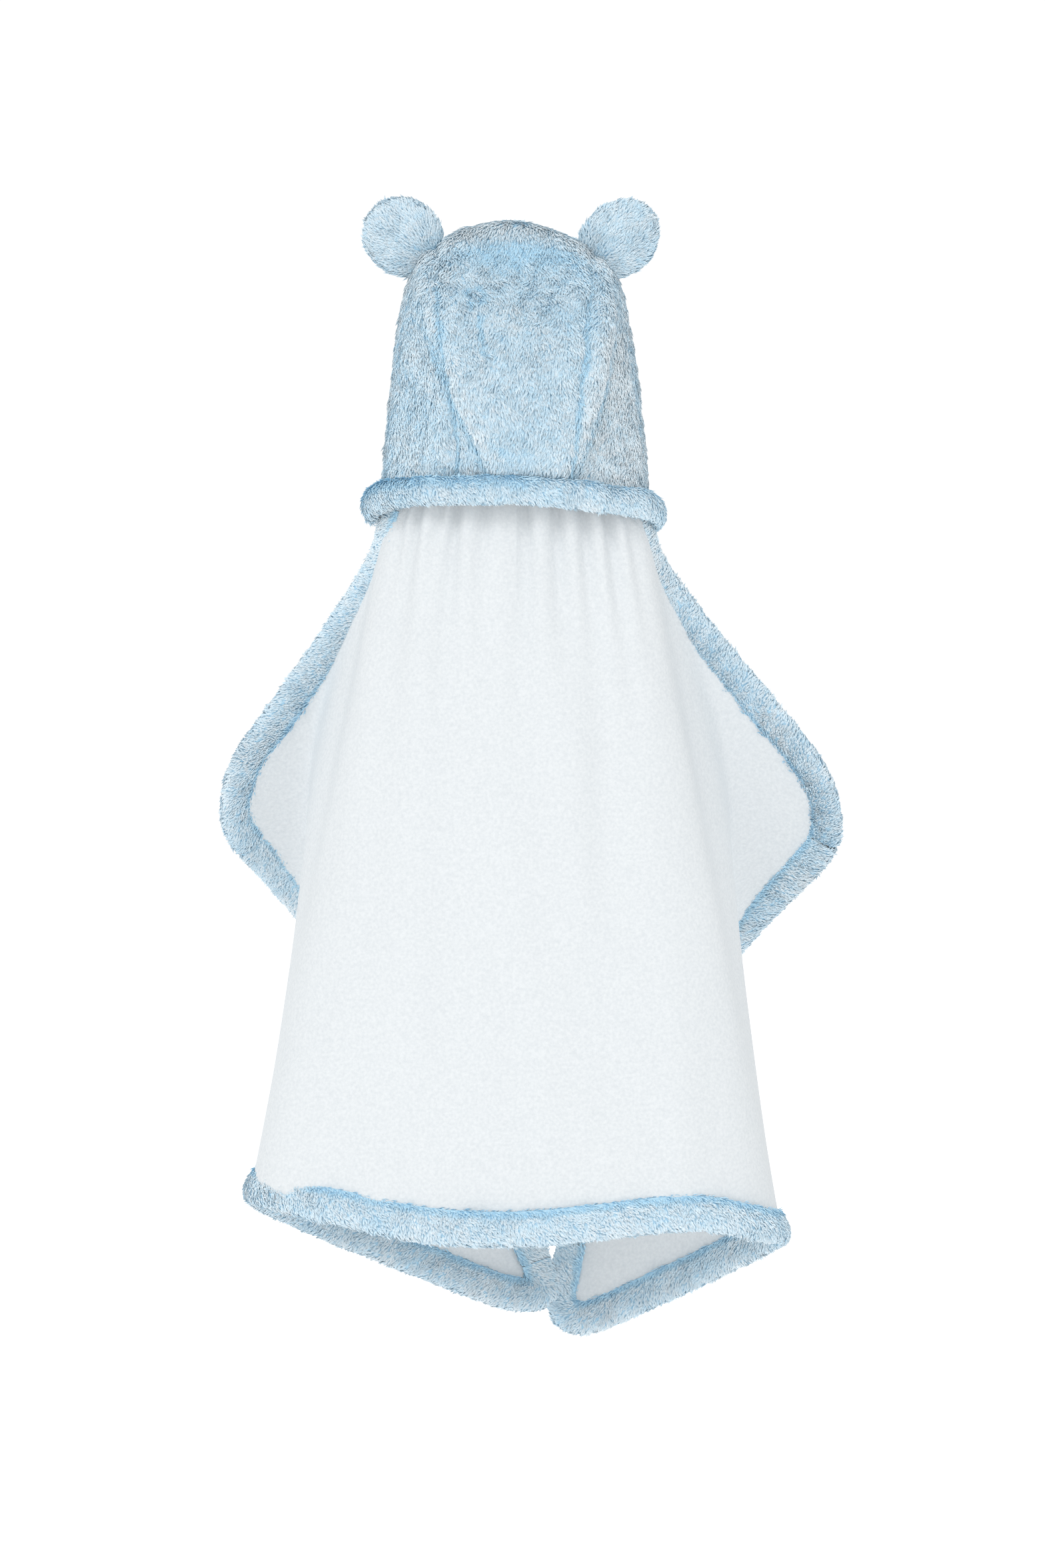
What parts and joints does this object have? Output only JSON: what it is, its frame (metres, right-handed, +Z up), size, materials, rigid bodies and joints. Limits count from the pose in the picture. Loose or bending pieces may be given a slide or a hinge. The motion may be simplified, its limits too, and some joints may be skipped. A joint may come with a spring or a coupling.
{
  "type": "hooded baby towel",
  "caption": "Baby bath towel of white terry with a light blue plush hood, round bear ears and plush edge binding, hanging by its ears with its lower corners wrapped forward.",
  "frame": {"origin": "on the line the towel hangs from, midway between its two ears, at the height at which they are gripped", "axes": "+Z up, +X to the right of someone looking at the outside of the hood, +Y away from them, towards the side where the hood and the towel open"},
  "size_m": [0.5074, 0.288, 0.9176],
  "materials": {
    "plush": "light blue long-pile plush, soft sheen",
    "terry": "white cotton velour terry, matt",
    "lining": "white cotton terry, matt",
    "wadding": "white polyester wadding"
  },
  "bodies": {
    "hood": {"hood_left_panel": "plush", "hood_centre_panel": "plush", "hood_right_panel": "plush", "lining_left_panel": "lining", "lining_centre_panel": "lining", "lining_right_panel": "lining", "hood_brim_binding": "plush", "neck_band": "plush"},
    "ear_left": {"ear_left_front": "plush", "ear_left_back": "plush", "ear_left_wadding": "wadding"},
    "ear_right": {"ear_right_front": "plush", "ear_right_back": "plush", "ear_right_wadding": "wadding"},
    "towel": {"towel_back_panel": "terry", "hem_binding": "plush"},
    "flap_left": {"towel_left_flap": "terry", "binding_left_top": "plush", "binding_left_side": "plush", "binding_left_bottom": "plush"},
    "flap_right": {"towel_right_flap": "terry", "binding_right_top": "plush", "binding_right_side": "plush", "binding_right_bottom": "plush"}
  },
  "joints": [
    {"name": "ear_left_bend", "type": "hinge", "parent": "hood", "child": "ear_left", "pos_m": [-0.068, 0, -0.028], "axis": [0.5878, 0, 0.809], "range_deg": [-25, 25], "stiffness_Nm_per_rad": 0.05},
    {"name": "ear_right_bend", "type": "hinge", "parent": "hood", "child": "ear_right", "pos_m": [0.065, 0, -0.032], "axis": [0.6947, 0, -0.7193], "range_deg": [-25, 25], "stiffness_Nm_per_rad": 0.05},
    {"name": "neck_swing", "type": "hinge", "parent": "hood", "child": "towel", "pos_m": [0, 0.02, -0.225], "axis": [1, 0, 0], "range_deg": [-9, 10]},
    {"name": "left_flap_fold", "type": "hinge", "parent": "towel", "child": "flap_left", "pos_m": [-0.103, 0.002, -0.243], "axis": [0.1983, 0, 0.9802], "range_deg": [-15, 2], "stiffness_Nm_per_rad": 0.4, "springref_deg": -2.86},
    {"name": "right_flap_fold", "type": "hinge", "parent": "towel", "child": "flap_right", "pos_m": [0.106, 0.002, -0.247], "axis": [0.188, 0, -0.9822], "range_deg": [0, 45], "stiffness_Nm_per_rad": 0.4, "springref_deg": -2.86}
  ]
}
